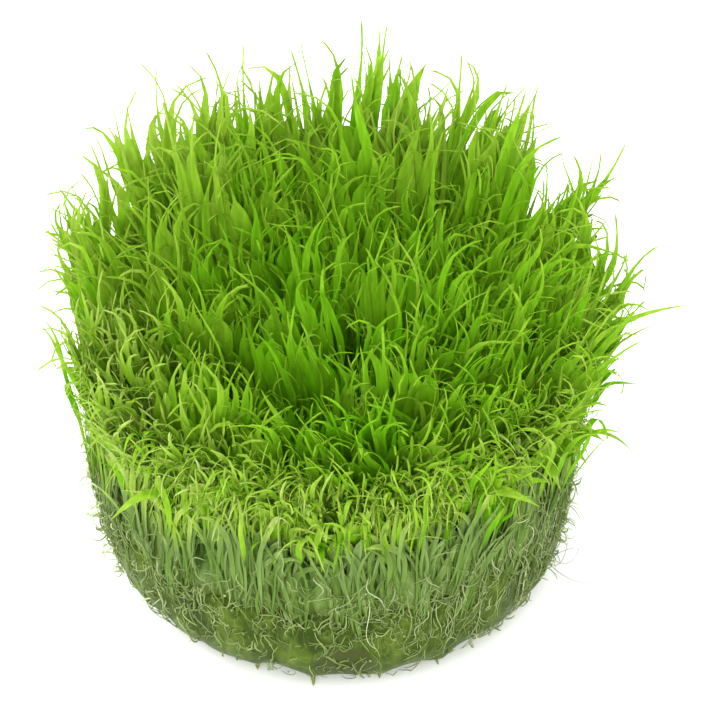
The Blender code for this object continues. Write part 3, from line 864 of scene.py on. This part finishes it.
def lie_of_place(x, y, s):
    """The tilt of leaves that stand at x, y, at share s of their length: outwards, growing with s and with a
    power of the distance from the middle, lower on the flanks. The tips lean furthest in front, and further
    on the right and at the back left than elsewhere. A smooth random lean comes on top."""
    angle = np.arctan2(y, x)
    q = np.clip(np.hypot(x, y) / STAND, 0, 1)
    front = ease(-np.sin(angle), 0.2, 0.9)
    back_left = ease(-np.cos(angle), 0.4, 0.8) * ease(np.sin(angle), 0.1, 0.5)
    right = ease(np.cos(angle), 0.4, 0.9)
    flank = ease(np.abs(np.cos(angle)), 0.3, 0.9)
    rim_tip = RIM_TIP_LEAN + (FRONT_TIP_LEAN - RIM_TIP_LEAN) * front
    rim_tip = rim_tip + SIDE_TIP_LEAN * (right + 0.7 * back_left)
    out = RIM_FOOT_LEAN * q + (rim_tip - RIM_FOOT_LEAN) * q ** (3 - 1.7 * flank) * s
    place = np.stack([x, y, 0 * x], axis=2)
    comb = np.stack([0.1 * dapple(place, 9 * MM, 43) + 0.02, 0.1 * dapple(place, 9 * MM, 44)])
    return towards(out, angle) + comb * s


def full_length(x, y):
    """The leaves' full length at x, y. The clump is a leaning bowl: its floor is half of the reach, its wall
    grows from front to back and adds nearly as much again, most of all in the middle of the back."""
    across, deep = x / STAND, y / STAND
    wall = ease(np.hypot(across, deep), 0.5, 0.98) * ease(deep, -0.7, 0.6)
    return LEAF_REACH * (0.54 + 0.06 * deep + (0.47 - 0.2 * (across + 0.08) ** 2) * wall)


def painted_light_tint(x, y):
    """Leaves on the left and towards the edge, at the back and front edge most of all, are painted lighter
    and yellower as painted light, where more light falls on them and shines through them: the share by which
    their tint grows."""
    left = ease(-x, 4 * MM, 28 * MM) * (0.5 + 0.5 * ease(-y, -20 * MM, 10 * MM))
    edge = ease(np.hypot(x, y), 0.5 * STAND, STAND)
    ends = ease(y, 12 * MM, 34 * MM) + ease(-y, 16 * MM, 32 * MM)
    return 0.3 * left + (0.2 + 0.2 * ends) * edge


def bunch_leaves(member, x, y, s, tilt, length, turn, width, tint, gains):
    """Leaves of bunches as one group of strands. The tilt of their place and the bunch's lean come on top of
    their own. Leaves in places with painted light have a larger tint, which gains more."""
    tilt = tilt + lie_of_place(x, y, s) + towards(bunch_lean[member] * s**0.7, bunch_way[member])
    foot = np.concatenate([x, y, LEAF_FOOT + 0 * x], axis=1)
    # The share of painted light here: a lighter, yellower tint on the left and at the edge.
    painted_light = painted_light_tint(x, y)
    tint = tint + bunch_tint[member] + 0.3 * painted_light
    gain = gains[0] + gains[1] * painted_light
    return leaves_along(foot, s, tilt, length[:, 0], turn, width, tint[:, 0], gain[:, 0])


def stuck_leaves(dice, bunches, each, lengths, widths, bending, tail_start, tint):
    """Leaves stuck flat together to a wet film, broader at the back. The feet stand in a row along the
    bunch's broad side, inside the rim. Each leaf tilts back by a share of its offset, so that all draw
    together, or towards two tips where the bunch forks. They sway together. Past its tail's start a leaf
    narrows to a thread and curls by a random angle in its own way."""
    size = (len(bunches) * each, 1)
    member = np.repeat(bunches, each)[:, None]
    s = stations(12, 1.3)
    broad, breadth = bunch_turn[member], bunch_breadth[member]
    row = np.tile(np.linspace(-1, 1, each), len(bunches))[:, None]
    along = row * breadth + dice.normal(0, 0.35, size) * MM
    across = dice.normal(0, 0.12, size) * MM
    x = bunch_x[member] + along * np.cos(broad) - across * np.sin(broad)
    y = bunch_y[member] + along * np.sin(broad) + across * np.cos(broad)
    pulled_in = np.minimum(INSIDE_RIM * STAND / np.hypot(x, y), 1)
    x, y = x * pulled_in, y * pulled_in
    length = full_length(x, y) * bunch_length[member] * dice.uniform(*lengths, size)
    offset = along - np.sign(along) * bunch_fork[member] * breadth
    gather = GATHERING * offset / length * ease(s, 0.2, 0.6) + dice.normal(0, 0.04, size) * s
    hook = bending * bunch_hook[member] * ease(s, 0.6, 1.0)
    ending = tail_start + dice.uniform(-0.1, 0.06, size)
    curl = bending * dice.gamma(2.0, radians(48), size) * ease(s, ending - 0.06, 1.0)
    curl_way = dice.uniform(0, 2 * pi, size)
    swing = waves(dice, size[0], (0.04, 0.24), (5, 11), s, curl_way) * s
    sway = bunch_sway[member] * np.sin(bunch_waves[member] * s + bunch_way[member] * 5)
    tilt = towards(hook, bunch_hook_way[member]) + towards(curl, curl_way)
    tilt = tilt + towards(sway + swing - gather, broad)
    turn = broad + dice.normal(0, 0.1, size) + dice.normal(0, 0.3, size) * s
    film = (1 + 0.4 * ease(y, 0, 24 * MM)) * dice.uniform(*widths, size) * MM
    width = film * (0.8 + 0.2 * ease(s, 0.0, 0.3))
    tail = np.minimum(width, dice.uniform(0.22, 0.42, size) * MM) * (1 - ease(s, 0.95, 1.05))
    width = tail + (width - tail) * (1 - ease(s, ending - 0.06, ending + 0.1))
    tints = dice.normal(tint, 0.035, size)
    return bunch_leaves(member, x, y, s, tilt, length, turn, width, tints, STUCK_GAINS)


def free_leaves(dice, bunches, each, lengths, widths, bends, starts, tint, gain):
    """Leaves that stand free round a bunch's middle, up to 4 mm away. They wave, and from a random share of
    their length on they bend over by a random angle, gamma-spread with the scale bends, in a random way."""
    size = (len(bunches) * each, 1)
    member = np.repeat(bunches, each)[:, None]
    s = stations(12, 1.3)
    away = dice.uniform(0, 1, size) ** 0.5 * FREE_SPREAD
    way = dice.uniform(0, 2 * pi, size)
    x = bunch_x[member] + away * np.cos(way)
    y = bunch_y[member] + away * np.sin(way)
    length = full_length(x, y) * bunch_length[member] * dice.uniform(*lengths, size)
    start = dice.uniform(*starts, size)
    bend = dice.gamma(2.0, bends, size) * ease(s, start, start + 0.35)
    bend_way = dice.uniform(0, 2 * pi, size)
    swing = dice.uniform(0.5, 1.0, size) * bends * 0.6 * s
    rate = dice.uniform(5.0, 12.0, size)
    swings = np.stack([np.sin(rate * s + way * 3), np.cos(rate * 0.8 * s + bend_way * 2)]) * swing
    turn = dice.uniform(0, 2 * pi, size) + dice.normal(0, 0.8, size) * s
    shape = (0.6 + 0.4 * ease(s, 0, 0.4)) * (1 - 0.6 * ease(s, 0.68, 0.92))
    width = dice.uniform(*widths, size) * MM * shape * (1 - ease(s, 0.9, 1.04))
    tilt = towards(bend, bend_way) + swings
    tints = dice.normal(tint, 0.07, size)
    return bunch_leaves(member, x, y, s, tilt, length, turn, width, tints, (gain, PAINTED_LIGHT_GAIN))


for ring, (ring_name, tufts, _) in enumerate(TUFT_RINGS):
    for number in range(tufts):
        ending = ring_name if tufts == 1 else f"{ring_name}_{number + 1:02d}"
        tuft_dice = np.random.default_rng(1000 + 100 * ring + number)
        members = bunches_in(ring, number)
        groups = [stuck_leaves(tuft_dice, members, *kind) for kind in STUCK_KINDS]
        groups += [free_leaves(tuft_dice, members, *kind) for kind in FREE_KINDS]
        leaves = join_strands(f"leaves_{ending}", groups, live_leaf)
        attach(leaves, "root")
        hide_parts(f"tuft_{ending}")

# Studio
# A pale floor that runs out of sight, soft light from all round, and three large soft lights: above, in
# front and behind to the left. The camera looks down on the clump from the front, as in the photograph.

VIEW_ELEVATION = radians(39)
VIEW_DISTANCE = 0.350
VIEW_TARGET = Vector((3.5 * MM, 0, 36 * MM))
VIEW_WIDTH = 111.6 * MM
HALF_FLOOR = 3.0
# Each light's place and width in metres, and its power in watts.
LIGHTS = {
    "key": ((-0.3, -0.5, 0.75), 1.2, 5.0),
    "front": ((0.0, -0.9, 0.4), 0.9, 6.0),
    "back": ((-0.6, 0.5, 0.45), 0.9, 9.0),
}
SKY_STRENGTH = 1.7


def studio_material():
    """Matt white card with the faintest tooth, 2 mm wide."""
    material, tree = new_material("white_card")
    place = add(tree, "TexCoord").outputs["Object"]
    tooth = add(tree, "TexNoise", {"Vector": place}, Scale=1 / (2 * MM), Detail=2.0)
    bump = add(tree, "Bump", {"Height": tooth}, Strength=0.05, Distance=0.1 * MM)
    card = {"Base Color": linear("#f6f6f4"), "Normal": bump}
    shader = add(tree, "BsdfPrincipled", card, Roughness=0.9)
    add(tree, "OutputMaterial", {"Surface": shader})
    return material


corners = np.array([[-1, -1, 0], [1, -1, 0], [1, 1, 0], [-1, 1, 0]]) * HALF_FLOOR
floor = mesh_piece("floor", corners, [np.array([[0, 1, 2, 3]])], studio_material())

for name, (place, size, power) in LIGHTS.items():
    lamp = bpy.data.lights.new(name, "AREA")
    lamp.size = size
    lamp.energy = power
    light = bpy.data.objects.new(name, lamp)
    light.location = place
    light.rotation_euler = (VIEW_TARGET - Vector(place)).to_track_quat("-Z", "Y").to_euler()
    bpy.context.scene.collection.objects.link(light)

world = bpy.data.worlds.new("studio_air")
world.use_nodes = True
world.node_tree.nodes["Background"].inputs["Color"].default_value = (1, 1, 1, 1)
world.node_tree.nodes["Background"].inputs["Strength"].default_value = SKY_STRENGTH
bpy.context.scene.world = world
bpy.context.scene.view_settings.view_transform = "Standard"

lens = bpy.data.cameras.new("camera")
lens.angle = 2 * atan(VIEW_WIDTH / 2 / VIEW_DISTANCE)
camera = bpy.data.objects.new("camera", lens)
away = Vector((0, -cos(VIEW_ELEVATION), sin(VIEW_ELEVATION)))
camera.location = VIEW_TARGET + away * VIEW_DISTANCE
camera.rotation_euler = (-away).to_track_quat("-Z", "Y").to_euler()
bpy.context.scene.collection.objects.link(camera)
bpy.context.scene.camera = camera
